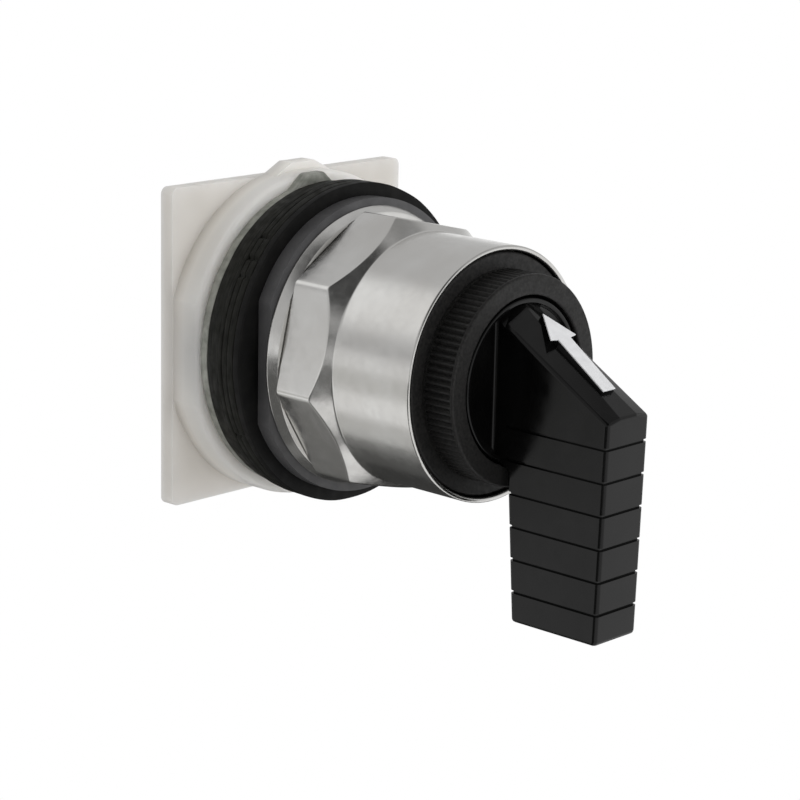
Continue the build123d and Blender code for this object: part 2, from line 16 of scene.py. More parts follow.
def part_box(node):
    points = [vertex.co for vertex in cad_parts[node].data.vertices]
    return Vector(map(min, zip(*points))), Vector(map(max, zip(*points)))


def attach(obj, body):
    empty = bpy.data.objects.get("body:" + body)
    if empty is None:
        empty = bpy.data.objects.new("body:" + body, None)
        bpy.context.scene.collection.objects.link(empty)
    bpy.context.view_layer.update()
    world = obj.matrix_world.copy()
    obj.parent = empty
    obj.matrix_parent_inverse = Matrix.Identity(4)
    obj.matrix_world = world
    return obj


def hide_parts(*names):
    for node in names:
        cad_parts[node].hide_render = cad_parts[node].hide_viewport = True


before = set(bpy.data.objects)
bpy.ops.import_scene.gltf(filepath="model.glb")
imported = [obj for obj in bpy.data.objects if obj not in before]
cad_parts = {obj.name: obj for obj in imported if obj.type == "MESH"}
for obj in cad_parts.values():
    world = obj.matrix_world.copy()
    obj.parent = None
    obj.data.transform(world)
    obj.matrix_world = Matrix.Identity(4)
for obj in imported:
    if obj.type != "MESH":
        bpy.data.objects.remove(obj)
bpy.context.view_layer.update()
MM = 0.001


def stations(node):
    """The back and front stations of a node, to a micrometre."""
    low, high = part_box(node)
    return round(-high.y / MM, 3), round(-low.y / MM, 3)


# Materials

# A noise value seldom leaves these limits
NOISE_LOW = 0.35
NOISE_HIGH = 0.65

# How far behind the panel the painted glow, a lighter cream that stands in for light passing
# through the plate's thin raised ring, passes into the slab's tone, in millimetres
COLLAR_PAINTED_GLOW_DEPTH = 4.2
PAINTED_GLOW_END_DEPTH = 6.0


class Finish:
    """A node material built round one Principled shader, with its detail in object space."""

    def __init__(self, name, color, roughness, metallic=0.0, specular=0.5):
        self.material = bpy.data.materials.new(name)
        self.material.use_nodes = True
        self.nodes = self.material.node_tree.nodes
        self.links = self.material.node_tree.links
        self.shader = self.nodes["Principled BSDF"]
        self.color = color
        self.shader.inputs["Base Color"].default_value = (*color, 1)
        self.shader.inputs["Roughness"].default_value = roughness
        self.shader.inputs["Metallic"].default_value = metallic
        self.shader.inputs["Specular IOR Level"].default_value = specular
        self.place = self.nodes.new("ShaderNodeTexCoord").outputs["Object"]
        self.normal = None

    def squeezed(self, times):
        """Object coordinates squeezed along the operator axis, for grain that runs round it."""
        mapping = self.nodes.new("ShaderNodeMapping")
        mapping.inputs["Scale"].default_value = (1, times, 1)
        self.links.new(self.place, mapping.inputs["Vector"])
        return mapping.outputs["Vector"]

    def noise(self, size_mm, detail=3.0, vector=None):
        """Noise whose features are about size_mm across."""
        texture = self.nodes.new("ShaderNodeTexNoise")
        texture.inputs["Scale"].default_value = 1 / (size_mm * MM)
        texture.inputs["Detail"].default_value = detail
        self.links.new(vector or self.place, texture.inputs["Vector"])
        return texture.outputs["Fac"]

    def spread(self, value, low, high, from_low=NOISE_LOW, from_high=NOISE_HIGH):
        """A value between two limits, stretched to run from low to high."""
        span = self.nodes.new("ShaderNodeMapRange")
        span.inputs["From Min"].default_value = from_low
        span.inputs["From Max"].default_value = from_high
        span.inputs["To Min"].default_value = low
        span.inputs["To Max"].default_value = high
        self.links.new(value, span.inputs["Value"])
        return span.outputs["Result"]

    def blend(self, value, first, second, from_low=NOISE_LOW, from_high=NOISE_HIGH):
        """A colour between two others, each a tone or the output of another blend."""
        mix = self.nodes.new("ShaderNodeMix")
        mix.data_type = "RGBA"
        for name, color in (("A", first), ("B", second)):
            if isinstance(color, tuple):
                mix.inputs[name].default_value = (*color, 1)
            else:
                self.links.new(color, mix.inputs[name])
        self.links.new(self.spread(value, 0, 1, from_low, from_high), mix.inputs["Factor"])
        return mix.outputs["Result"]

    def paint(self, color):
        """Take the colour from the output of a blend."""
        self.links.new(color, self.shader.inputs["Base Color"])

    def mottle(self, value, darker, lighter=None):
        """Colour that wanders between two tones."""
        self.paint(self.blend(value, darker, lighter or self.color))

    def uneven(self, value, low, high):
        """Roughness that wanders between two values."""
        self.links.new(self.spread(value, low, high), self.shader.inputs["Roughness"])

    def bumpy(self, value, height_mm):
        """Relief of the given height; several of them add up."""
        bump = self.nodes.new("ShaderNodeBump")
        bump.inputs["Distance"].default_value = height_mm * MM
        bump.inputs["Strength"].default_value = 1
        self.links.new(value, bump.inputs["Height"])
        if self.normal:
            self.links.new(self.normal, bump.inputs["Normal"])
        self.normal = bump.outputs["Normal"]
        self.links.new(self.normal, self.shader.inputs["Normal"])

    def sink(self, radius_mm, tint):
        """Light that enters the surface and spreads inside."""
        self.shader.inputs["Subsurface Weight"].default_value = 1
        self.shader.inputs["Subsurface Radius"].default_value = tint
        self.shader.inputs["Subsurface Scale"].default_value = radius_mm * MM


def satin_chrome():
    """Cast zinc with satin chrome: soft reflections over a faintly pebbled casting."""
    finish = Finish("satin_chrome", (0.66, 0.655, 0.64), 0.16, metallic=1.0)
    finish.mottle(finish.noise(9.0, 2.0), (0.60, 0.59, 0.57))
    finish.uneven(finish.noise(1.2, 4.0), 0.17, 0.26)
    finish.bumpy(finish.noise(5.0, 2.0), 0.009)
    finish.bumpy(finish.noise(0.45, 3.0), 0.003)
    return finish.material


def streaked_rubber():
    """Cut sheet rubber, dull, with streaks that run round its rim."""
    finish = Finish("streaked_rubber", (0.015, 0.0155, 0.0125), 0.6, specular=0.14)
    finish.mottle(finish.noise(2.2, 4.0, finish.squeezed(9.0)), (0.0055, 0.0056, 0.0044))
    finish.uneven(finish.noise(1.5, 3.0), 0.5, 0.72)
    finish.bumpy(finish.noise(2.4, 3.0, finish.squeezed(9.0)), 0.05)
    return finish.material


def smooth_rubber():
    """Moulded rubber, near black, with a smooth skin."""
    finish = Finish("smooth_rubber", (0.0075, 0.0075, 0.0072), 0.55, specular=0.12)
    finish.mottle(finish.noise(2.5, 4.0), (0.005, 0.005, 0.005))
    finish.uneven(finish.noise(1.5, 3.0), 0.5, 0.64)
    finish.bumpy(finish.noise(0.8, 3.0), 0.01)
    return finish.material


def plate_nylon():
    """Natural nylon: milky, with light that runs through it, and a lighter cream painted on the
    thin raised ring, a painted glow for that light.
    """
    finish = Finish("plate_nylon", (0.70, 0.678, 0.65), 0.38, specular=0.4)
    slab = finish.blend(finish.noise(14.0, 2.0), (0.58, 0.565, 0.54), (0.66, 0.642, 0.618))
    # Painted glow: the raised ring's lighter cream stands in for light that passes through it where
    # the gaskets in front shade it
    collar_painted_glow = finish.blend(finish.noise(14.0, 2.0), (0.88, 0.84, 0.775), (0.94, 0.90, 0.835))
    depth = finish.nodes.new("ShaderNodeSeparateXYZ")
    finish.links.new(finish.place, depth.inputs["Vector"])
    finish.paint(finish.blend(depth.outputs["Y"], collar_painted_glow, slab, COLLAR_PAINTED_GLOW_DEPTH * MM, PAINTED_GLOW_END_DEPTH * MM))
    finish.uneven(finish.noise(4.0, 3.0), 0.30, 0.48)
    finish.bumpy(finish.noise(6.0, 2.0), 0.05)
    finish.sink(8.0, (1.0, 0.97, 0.93))
    return finish.material


def galvanised():
    """Galvanised sheet with a faint grey-green tone."""
    finish = Finish("galvanised", (0.36, 0.365, 0.335), 0.42, metallic=0.35)
    finish.mottle(finish.noise(1.6, 5.0), (0.20, 0.21, 0.185))
    finish.uneven(finish.noise(0.9, 4.0), 0.34, 0.56)
    finish.bumpy(finish.noise(0.5, 4.0), 0.02)
    return finish.material


def grey_moulding():
    """Dark grey washer with a fine moulded grain."""
    finish = Finish("grey_moulding", (0.078, 0.078, 0.081), 0.5, specular=0.4)
    finish.mottle(finish.noise(3.0, 3.0), (0.062, 0.062, 0.065))
    finish.uneven(finish.noise(1.0, 3.0), 0.42, 0.58)
    finish.bumpy(finish.noise(0.3, 3.0), 0.012)
    return finish.material


def ring_nylon():
    """Black filled nylon of the bezel, matte with pale specks."""
    finish = Finish("ring_nylon", (0.012, 0.012, 0.012), 0.5, specular=0.24)
    finish.mottle(finish.noise(0.35, 2.0), (0.008, 0.008, 0.008), (0.017, 0.0165, 0.016))
    finish.uneven(finish.noise(0.8, 4.0), 0.42, 0.6)
    finish.bumpy(finish.noise(0.28, 3.0), 0.012)
    return finish.material


def knob_moulding():
    """Glossy black moulding of the knob and its lever."""
    finish = Finish("knob_moulding", (0.002, 0.002, 0.002), 0.16, specular=0.26)
    finish.mottle(finish.noise(6.0, 2.0), (0.0015, 0.0015, 0.0015), (0.003, 0.003, 0.003))
    finish.uneven(finish.noise(2.5, 3.0), 0.12, 0.22)
    finish.bumpy(finish.noise(8.0, 1.0), 0.02)
    finish.bumpy(finish.noise(0.5, 2.0), 0.0012)
    return finish.material


def white_paint():
    """White filling of the arrow."""
    finish = Finish("white_paint", (0.74, 0.75, 0.77), 0.42)
    finish.mottle(finish.noise(1.2, 3.0), (0.68, 0.69, 0.71))
    finish.uneven(finish.noise(0.6, 3.0), 0.36, 0.5)
    finish.bumpy(finish.noise(0.4, 3.0), 0.01)
    return finish.material


def steel(name, color, roughness):
    """Turned or rolled steel, its grain running round the axis."""
    finish = Finish(name, color, roughness, metallic=1.0)
    finish.mottle(finish.noise(2.0, 3.0), tuple(0.82 * tone for tone in color))
    finish.uneven(finish.noise(0.8, 4.0, finish.squeezed(6.0)), roughness - 0.08, roughness + 0.1)
    finish.bumpy(finish.noise(0.3, 3.0, finish.squeezed(8.0)), 0.004)
    return finish.material


def plain_moulding(name, color, roughness, grain_mm=0.4):
    """Moulded plastic of the inner pieces."""
    finish = Finish(name, color, roughness)
    finish.mottle(finish.noise(4.0, 3.0), tuple(0.9 * tone for tone in color))
    finish.uneven(finish.noise(1.5, 3.0), roughness - 0.06, roughness + 0.08)
    finish.bumpy(finish.noise(grain_mm, 3.0), 0.01)
    return finish.material


chrome = satin_chrome()
rubber = streaked_rubber()
sealing = smooth_rubber()
nylon = plate_nylon()
spring_steel = steel("spring_steel", (0.50, 0.51, 0.52), 0.3)
plated = steel("zinc_plated", (0.66, 0.66, 0.64), 0.28)
turned_steel = steel("turned_steel", (0.60, 0.60, 0.60), 0.25)
acetal = plain_moulding("acetal", (0.80, 0.79, 0.75), 0.4)
cast_dark = plain_moulding("cast_dark", (0.03, 0.03, 0.031), 0.5, 0.25)
node_materials = {
    "base_plate": nylon, "base_screws": plated, "neck_bushing": cast_dark,
    "locating_washer": galvanised(), "trim_washer": grey_moulding(), "ring_nut": chrome,
    "bezel_ring": ring_nylon(), "knob": knob_moulding(), "arrow_insert": white_paint(),
    "operator_shaft": turned_steel, "knob_screw": plated, "thrust_washer": acetal,
    "shaft_seal": sealing, "cam_hub": acetal, "retaining_clip": spring_steel,
    "detent_spring": spring_steel, "plunger_guide": nylon, "plunger_left": acetal,
    "plunger_right": acetal, "return_spring_left": spring_steel,
    "return_spring_right": spring_steel, "front_gasket": sealing,
}
# The nodes that the table leaves out are gaskets
for node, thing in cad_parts.items():
    for slot in thing.material_slots:
        slot.material = node_materials.get(node, rubber)


# Shapes

# Columns of a round rim, and steps of its rounded edges
RIM_SIDES = 720
RIM_STEPS = 4

# Points closer than this, in metres, are one
SAME_POINT = 1e-7


def new_object(name, mesh, material):
    """An object in the scene that carries the mesh."""
    mesh.materials.append(material)
    thing = bpy.data.objects.new(name, mesh)
    bpy.context.collection.objects.link(thing)
    return thing


def mesh_from(name, points_mm, faces):
    """A smooth mesh from points in millimetres, with its faces turned outwards."""
    mesh = bpy.data.meshes.new(name)
    mesh.from_pydata([[MM * value for value in point] for point in points_mm], [], faces)
    shape = bmesh.new()
    shape.from_mesh(mesh)
    bmesh.ops.remove_doubles(shape, verts=shape.verts, dist=SAME_POINT)
    bmesh.ops.recalc_face_normals(shape, faces=shape.faces)
    shape.to_mesh(mesh)
    shape.free()
    mesh.shade_smooth()
    return mesh


def rounded(corners, steps=5):
    """Profile points for corners of (radius, station, rounding)."""
    points = []
    count = len(corners)
    for index, (radius, place, rounding) in enumerate(corners):
        here = Vector((radius, place))
        if not rounding:
            points.append((radius, place))
            continue
        before = (Vector(corners[index - 1][:2]) - here).normalized()
        after = (Vector(corners[(index + 1) % count][:2]) - here).normalized()
        half = before.angle(after) / 2
        start = here + before * rounding / tan(half)
        end = here + after * rounding / tan(half)
        centre = here + (before + after).normalized() * rounding / sin(half)
        for step in range(steps + 1):
            share = step / steps
            chord = start.lerp(end, share) - centre
            points.append(tuple(centre + chord.normalized() * rounding))
    return points


def turned(name, profile, sides, radius_at=None, start=0.0):
    """A closed ring: profile points (radius, station) swept round the operator axis."""
    points = []
    for column in range(sides):
        angle = start + 2 * pi * column / sides
        for radius, place in profile:
            reach = radius_at(angle, radius, place) if radius_at else radius
            points.append((reach * cos(angle), -place, reach * sin(angle)))
    rows = len(profile)
    faces = []
    for column in range(sides):
        here = column * rows
        there = (column + 1) % sides * rows
        for row in range(rows):
            above = (row + 1) % rows
            faces.append((here + row, there + row, there + above, here + above))
    return mesh_from(name, points, faces)


def prism(name, outline, low, high, place):
    """A prism over an outline; place turns (u, v, height) into a point."""
    count = len(outline)
    points = [place(u, v, low) for u, v in outline] + [place(u, v, high) for u, v in outline]
    faces = [tuple(range(count)), tuple(range(count, 2 * count))]
    for index in range(count):
        after = (index + 1) % count
        faces.append((index, after, count + after, count + index))
    return mesh_from(name, points, faces)


def from_above(x, place, z):
    """A point of an outline that is drawn in x and station."""
    return x, -place, z


def joined(name, meshes):
    """One mesh made of several separate ones."""
    shape = bmesh.new()
    for mesh in meshes:
        shape.from_mesh(mesh)
    result = bpy.data.meshes.new(name)
    shape.to_mesh(result)
    shape.free()
    result.shade_smooth()
    return result


def apply_modifiers(thing):
    """Make what the modifiers give the thing's own mesh."""
    bpy.context.view_layer.update()
    graph = bpy.context.evaluated_depsgraph_get()
    mesh = bpy.data.meshes.new_from_object(thing.evaluated_get(graph))
    thing.modifiers.clear()
    thing.data = mesh


def even_flats(thing):
    """Give each flat one normal, so that only its rounded edges bend a reflection."""
    weighted = thing.modifiers.new("even_flats", "WEIGHTED_NORMAL")
    weighted.keep_sharp = True
    weighted.weight = 100
    apply_modifiers(thing)


def carve(base, steps):
    """Run base's modifiers and boolean steps (operation, mesh), then shade its flats evenly."""
    helpers = []
    for operation, mesh in steps:
        helper = bpy.data.objects.new("helper", mesh)
        bpy.context.collection.objects.link(helper)
        helpers.append(helper)
        boolean = base.modifiers.new("boolean", "BOOLEAN")
        boolean.operation = operation
        boolean.solver = "EXACT"
        boolean.object = helper
    apply_modifiers(base)
    for helper in helpers:
        bpy.data.objects.remove(helper)
    base.data.shade_smooth()
    base.data.set_sharp_from_angle(angle=KNOB_CREASE)
    even_flats(base)


# Knob: dished disc, lever with a widening ridge and six grooves, and a standing arrow

DISC_FACE = stations("bezel_ring")[1] - 0.25
DISC_BACK = DISC_FACE - 4.0
DISH_FLOOR = DISC_FACE - 1.2
BOSS_BACK = stations("knob")[0]
SOCKET_FLOOR = 35.9
DISC_R = 11.0
DISH_R = 10.3
BOSS_R = 6.6
SOCKET_R = 3.6
DISC_SIDES = 192
KNOB_CREASE = radians(35)

# Lever, by half widths across it, heights z, and points of its side view (station, z)
LEVER_HALF = 4.2
LEVER_TOP_Z = 9.0
LEVER_NOSE_Z = -1.95
RIDGE_TOP = (0.2, 10.9)
RIDGE_NOSE = (1.7, -1.5)
NOSE = (DISC_FACE + 17.6, RIDGE_NOSE[1])
TOE = (DISC_FACE + 16.85, -31.4)
HEEL = (DISC_FACE + 2.6, TOE[1])
DISC_EDGE_Z = -sqrt(DISC_R**2 - LEVER_HALF**2)
HEEL_TOP = (DISC_FACE + 1.15, DISC_EDGE_Z - 1.15)
LEVER_EDGE_R = 0.6
STRIPS = 12

# Rounded root of the lever in the dish
ROOT_R = 0.5
ROOT_STEPS = 5
ROOT_SINK = 0.2
ROOT_LOW_Z = 0.6 - DISH_R
ROOT_HIGH_Z = LEVER_TOP_Z - 0.5

# An edge is rounded where its faces turn by more than the first; a ridge strip's own edge
# across the lever turns by less than the second and stays
FLAT_TURN = radians(5)
RUNG_TURN = radians(8)
RUNG_SHARE = 0.8
SLACK = 0.1

# Grooves from the top one down; a cutter reaches the spare length beyond what it cuts
GROOVES = 6
GROOVE_TOP_Z = -5.24
GROOVE_PITCH = 4.39
GROOVE_WIDTH = 0.45
GROOVE_DEPTH = 0.38
GROOVE_START = DISC_FACE + 0.9
SPARE = 1


def between(low, high, share):
    """The point at a share of the way from low to high."""
    return tuple(a + (b - a) * share for a, b in zip(low, high))


def lever_mesh():
    """The lever before its edges are rounded; edge weights say how much each one is."""
    shape = bmesh.new()
    weight = shape.edges.layers.float.new("bevel_weight_edge")
    nose_side = between(NOSE, TOE, (NOSE[1] - LEVER_NOSE_Z) / (NOSE[1] - TOE[1]))

    def corner(x, place, z):
        return shape.verts.new((x * MM, -place * MM, z * MM))

    crest = {}
    shoulder = {}
    lower = {}
    for side in (-1, 1):
        crest[side] = []
        shoulder[side] = []
        for strip in range(STRIPS + 1):
            share = strip / STRIPS
            x, z = between(RIDGE_TOP, RIDGE_NOSE, share)
            crest[side].append(corner(side * x, DISH_FLOOR + (NOSE[0] - DISH_FLOOR) * share, z))
            place, z = between((DISH_FLOOR, LEVER_TOP_Z), nose_side, share)
            shoulder[side].append(corner(side * LEVER_HALF, place, z))
        lower[side] = [corner(side * LEVER_HALF, *point) for point in
                       (TOE, HEEL, HEEL_TOP, (DISC_FACE, DISC_EDGE_Z), (DISH_FLOOR, DISC_EDGE_Z))]
        shape.faces.new(shoulder[side] + lower[side])
        for strip in range(STRIPS):
            shape.faces.new((crest[side][strip], crest[side][strip + 1],
                             shoulder[side][strip + 1], shoulder[side][strip]))
    for strip in range(STRIPS):
        shape.faces.new((crest[-1][strip], crest[-1][strip + 1],
                         crest[1][strip + 1], crest[1][strip]))
    shape.faces.new((crest[-1][-1], crest[1][-1], shoulder[1][-1], lower[1][0],
                     lower[-1][0], shoulder[-1][-1]))
    for index in range(4):
        shape.faces.new((lower[-1][index], lower[1][index],
                         lower[1][index + 1], lower[-1][index + 1]))
    shape.faces.new((crest[-1][0], crest[1][0], shoulder[1][0], lower[1][-1],
                     lower[-1][-1], shoulder[-1][0]))
    bmesh.ops.recalc_face_normals(shape, faces=shape.faces)
    for edge in shape.edges:
        depth = min(-vert.co.y / MM for vert in edge.verts)
        turn = edge.calc_face_angle()
        middle = sum(-vert.co.y / MM for vert in edge.verts) / 2
        along = edge.verts[0].co - edge.verts[1].co
        across = abs(along.x) > RUNG_SHARE * along.length
        rung = across and depth > DISH_FLOOR + SLACK and turn < RUNG_TURN
        if middle > DISC_FACE + SLACK and not rung and turn > FLAT_TURN:
            edge[weight] = min(1, tan(turn / 2))
    mesh = bpy.data.meshes.new("lever")
    shape.to_mesh(mesh)
    shape.free()
    return mesh


def groove_cutters():
    """U-shaped cutters round the front and flanks, and bars across the heel."""
    cutters = []
    bars = []
    wide = LEVER_HALF + SPARE
    core = LEVER_HALF - GROOVE_DEPTH
    for number in range(GROOVES):
        z = GROOVE_TOP_Z - number * GROOVE_PITCH
        low, high = z - GROOVE_WIDTH / 2, z + GROOVE_WIDTH / 2
        front = NOSE[0] + (TOE[0] - NOSE[0]) * (NOSE[1] - z) / (NOSE[1] - TOE[1])
        heel = HEEL_TOP[0] + (HEEL[0] - HEEL_TOP[0]) * (HEEL_TOP[1] - z) / (HEEL_TOP[1] - HEEL[1])
        beside_disc = z > HEEL_TOP[1]
        rear = GROOVE_START if beside_disc else heel - SPARE
        outline = [(-wide, rear), (-wide, front + SPARE), (wide, front + SPARE), (wide, rear),
                   (core, rear), (core, front - GROOVE_DEPTH), (-core, front - GROOVE_DEPTH),
                   (-core, rear)]
        cutters.append(prism("groove", outline, low, high, from_above))
        if not beside_disc:
            bar = [(-wide, heel - SPARE), (wide, heel - SPARE),
                   (wide, heel + GROOVE_DEPTH), (-wide, heel + GROOVE_DEPTH)]
            bars.append(prism("bar", bar, low, high, from_above))
    return joined("grooves", cutters), joined("bars", bars)


# Plane of the arrow's white face: v runs up its slope
ARROW_TOP = Vector((0, -(DISC_FACE + 1.7), 10.3))
ARROW_END = Vector((0, -NOSE[0], -0.9))
ARROW_DOWN = (ARROW_END - ARROW_TOP).normalized()
ARROW_OUT = Vector((-1, 0, 0)).cross(ARROW_DOWN)
ARROW_START = 1.45
ARROW_LENGTH = 14.0
ARROW_HEAD = 4.4
ARROW_BARB = 0.2
HEAD_HALF = 2.5
SHAFT_HALF = 1.2
ARROW_THICKNESS = 0.2
ARROW_FOOT = 2.2
ARROW_EDGE = 0.05
BOSS_EDGE = 0.06


def on_arrow_plane(u, v, height):
    """A point by its place on the arrow's plane and its height over it."""
    return ARROW_TOP + Vector((u, 0, 0)) - ARROW_DOWN * v + ARROW_OUT * height


def arrow_outline():
    """The arrow, its tip at the top of the slope."""
    barb_v = -ARROW_START - ARROW_HEAD
    tail_v = -ARROW_START - ARROW_LENGTH
    return [(0, -ARROW_START), (HEAD_HALF, barb_v), (SHAFT_HALF, barb_v - ARROW_BARB),
            (SHAFT_HALF, tail_v), (-SHAFT_HALF, tail_v), (-SHAFT_HALF, barb_v - ARROW_BARB),
            (-HEAD_HALF, barb_v)]


def softened(mesh, width_mm):
    """Round the edges of the mesh a little."""
    shape = bmesh.new()
    shape.from_mesh(mesh)
    bmesh.ops.bevel(shape, geom=list(shape.edges), offset=width_mm * MM, segments=2, profile=0.5,
                    affect="EDGES", clamp_overlap=True)
    shape.to_mesh(mesh)
    shape.free()


def root_strip(side):
    """The rounded root of the lever along one flank, on the floor of the dish."""
    flank = side * LEVER_HALF
    below = DISH_FLOOR - ROOT_SINK
    outline = [(flank - side * ROOT_R, below), (flank - side * ROOT_R, DISH_FLOOR + ROOT_R)]
    for step in range(ROOT_STEPS + 1):
        turn = pi / 2 * step / ROOT_STEPS
        outline.append((flank + side * ROOT_R * (1 - cos(turn)),
                        DISH_FLOOR + ROOT_R * (1 - sin(turn))))
    outline.append((flank + side * ROOT_R, below))
    return prism("root", outline, ROOT_LOW_Z, ROOT_HIGH_Z, from_above)


def add_knob(material):
    """The knob in one mesh."""
    disc = turned("disc", rounded([
        (SOCKET_R, BOSS_BACK, 0), (BOSS_R, BOSS_BACK, 0.2), (BOSS_R, DISC_BACK, 0),
        (DISC_R, DISC_BACK, 0.2), (DISC_R, DISC_FACE, 0.3), (DISH_R, DISC_FACE, 0.15),
        (DISH_R, DISH_FLOOR, 1.0), (0, DISH_FLOOR, 0), (0, SOCKET_FLOOR, 0),
        (SOCKET_R, SOCKET_FLOOR, 0)]), DISC_SIDES)
    grooves, bars = groove_cutters()
    lever = new_object("knob_shell", lever_mesh(), material)
    bevel = lever.modifiers.new("rounding", "BEVEL")
    bevel.limit_method = "WEIGHT"
    bevel.width = LEVER_EDGE_R * MM
    bevel.segments = 4
    boss = prism("boss", arrow_outline(), -ARROW_FOOT, -ARROW_THICKNESS, on_arrow_plane)
    softened(boss, BOSS_EDGE)
    carve(lever, [("DIFFERENCE", grooves), ("DIFFERENCE", bars), ("UNION", disc),
                  ("UNION", root_strip(1)), ("UNION", root_strip(-1)), ("UNION", boss)])
    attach(lever, "knob")
    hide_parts("knob")


def add_arrow(material):
    """The white top of the arrow."""
    top = prism("arrow", arrow_outline(), -ARROW_THICKNESS, 0, on_arrow_plane)
    softened(top, ARROW_EDGE)
    top.shade_flat()
    arrow = new_object("arrow_top", top, material)
    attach(arrow, "knob")
    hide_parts("arrow_insert")


# Ring nut: one skin whose radius follows the flange, the octagon, its cone and the sleeve

NUT_BACK, SLEEVE_FRONT = stations("ring_nut")
NUT_ROOT = 11.0
NUT_FRONT = 17.1
SLEEVE_ROOT = NUT_FRONT + 2.443
FLANGE_R = 19.4
FLANGE_RIM = NUT_BACK + 0.35
FLANGE_FRONT_R = 18.7
FLANGE_FRONT = NUT_ROOT - 0.1
SLEEVE_R = 17.2
SLEEVE_BORE_R = 16.5
THREAD_R = 15.05
THREAD_FRONT = 19.8
FLAT_R = 18.0
SIDE_ANGLE = radians(45)
CORNER_TURN = radians(9.4)
ROOT_GROOVE = 0.2
CORNER_BLEND = 0.04
EDGE_BLEND = 0.05
SLEEVE_BLEND = 0.06
ROOT_SLOPE = 4
NUT_CREASE = radians(40)

# Stations of the skin's rings: close together where it bends
ROOT_RINGS = [NUT_ROOT + ROOT_GROOVE + 0.03 * step for step in range(5)]
FLAT_RINGS = [12.5, 14.0, 15.5]
CONE_RINGS = [16.6 + 0.05 * step for step in range(69)]
SLEEVE_START = 20.2


def soft_min(values, blend):
    """The least of the values, with the meeting edges rounded."""
    least = min(values)
    return least - blend * log(sum(exp((least - value) / blend) for value in values))


def nut_radius(angle, radius, place):
    """Radius of the nut's skin; beyond the octagon's stations it is the profile's own."""
    if radius > 0:
        return radius
    turn = (angle - CORNER_TURN) % SIDE_ANGLE - SIDE_ANGLE / 2
    octagon = soft_min([FLAT_R / cos(turn), FLAT_R / cos(SIDE_ANGLE - abs(turn))], CORNER_BLEND)
    if place < NUT_ROOT + ROOT_GROOVE:
        return min(octagon, FLANGE_R) - ROOT_GROOVE
    cone = (FLANGE_R - SLEEVE_R) * (SLEEVE_ROOT - place) / (SLEEVE_ROOT - NUT_FRONT) + SLEEVE_R
    root = FLANGE_R + ROOT_SLOPE * (place - NUT_ROOT - ROOT_GROOVE)
    skin = soft_min([octagon, FLANGE_R, cone, root], EDGE_BLEND)
    return SLEEVE_R + SLEEVE_BLEND * log(1 + exp((skin - SLEEVE_R) / SLEEVE_BLEND))


def add_ring_nut(material):
    """The ring nut; a radius of 0 in its profile asks for the shaped skin."""
    back = rounded([(THREAD_R, NUT_BACK, 0), (FLANGE_R, NUT_BACK, 0.12),
                    (FLANGE_R, FLANGE_RIM, 0.15), (FLANGE_FRONT_R, FLANGE_FRONT, 0.08),
                    (FLANGE_FRONT_R - 0.4, NUT_ROOT - 0.02, 0)])
    groove = [NUT_ROOT, NUT_ROOT + ROOT_GROOVE - 0.01]
    skin = [(0, place) for place in groove + ROOT_RINGS + FLAT_RINGS + CONE_RINGS]
    front = rounded([(SLEEVE_R, SLEEVE_START, 0), (SLEEVE_R, SLEEVE_FRONT, 0.3),
                     (SLEEVE_BORE_R, SLEEVE_FRONT, 0.3), (SLEEVE_BORE_R, THREAD_FRONT, 0),
                     (THREAD_R, THREAD_FRONT, 0)])
    mesh = turned("ring_nut_skin", back + skin + front, RIM_SIDES, nut_radius, CORNER_TURN)
    mesh.set_sharp_from_angle(angle=NUT_CREASE)
    nut = new_object("ring_nut_skin", mesh, material)
    even_flats(nut)
    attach(nut, "housing")
    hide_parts("ring_nut")


# Locating washer: a stamped disc with a tab

WASHER_R = 21.4
WASHER_BORE_R = 15.2
WASHER_BACK = -1.28
WASHER_FRONT = 0.2
TAB_TOP = 22.9
TAB_TOP_HALF = 1.7
TAB_FOOT_HALF = 3.4
TAB_X = -1.3
TAB_BLEND = 0.12
TAB_FOOT_BLEND = 0.08
TAB_SINE = 0.9


def washer_radius(angle, radius, _):
    """Radius of the washer's rim; the tab stands up where the sine is near 1."""
    if radius == WASHER_BORE_R or sin(angle) < TAB_SINE:
        return radius
    inset = WASHER_R - radius
    side = 1 if cos(angle) > TAB_X / TAB_TOP else -1
    lean = side * (TAB_TOP - WASHER_R) / (TAB_FOOT_HALF - TAB_TOP_HALF)
    reach = (TAB_TOP + lean * (TAB_X + side * TAB_TOP_HALF)) / (sin(angle) + lean * cos(angle))
    tab = soft_min([TAB_TOP / sin(angle), reach], TAB_BLEND)
    return -soft_min([-tab, -WASHER_R], TAB_FOOT_BLEND) - inset


def add_washer(material):
    """The washer, its edges rounded by the punch."""
    profile = rounded([(WASHER_BORE_R, WASHER_BACK, 0), (WASHER_R, WASHER_BACK, 0.25),
                       (WASHER_R, WASHER_FRONT, 0.3), (WASHER_BORE_R, WASHER_FRONT, 0)], RIM_STEPS)
    mesh = turned("washer_skin", profile, RIM_SIDES, washer_radius)
    washer = new_object("washer_skin", mesh, material)
    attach(washer, "housing")
    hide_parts("locating_washer")


# Gaskets: edges rounded by use and never quite round

GASKET_BORE_R = 15.3
GASKET_EDGE_R = 0.2
GASKET_GAP = 0.01
WAVE_COUNTS = (2, 3, 5, 9, 14, 23)
WAVE_HEIGHT = 0.02

# Node, radii at its back and front edges, material, and whether its rim has nicks
GASKETS = [
    ("panel_gasket", 21.55, 21.9, rubber, False),
    ("spacer_gasket_1", 22.1, 22.1, rubber, False),
    ("spacer_gasket_2", 22.15, 22.15, rubber, True),
    ("spacer_gasket_3", 22.2, 22.15, rubber, True),
    ("front_gasket", 22.2, 22.2, sealing, False),
]

# Angle round the rim in degrees, and depth
NICKS = ((142.0, 0.45), (149.0, 0.3), (133.0, 0.35), (208.0, 0.3), (61.0, 0.35), (301.0, 0.4))
NICK_HALF_ANGLE = 1.1


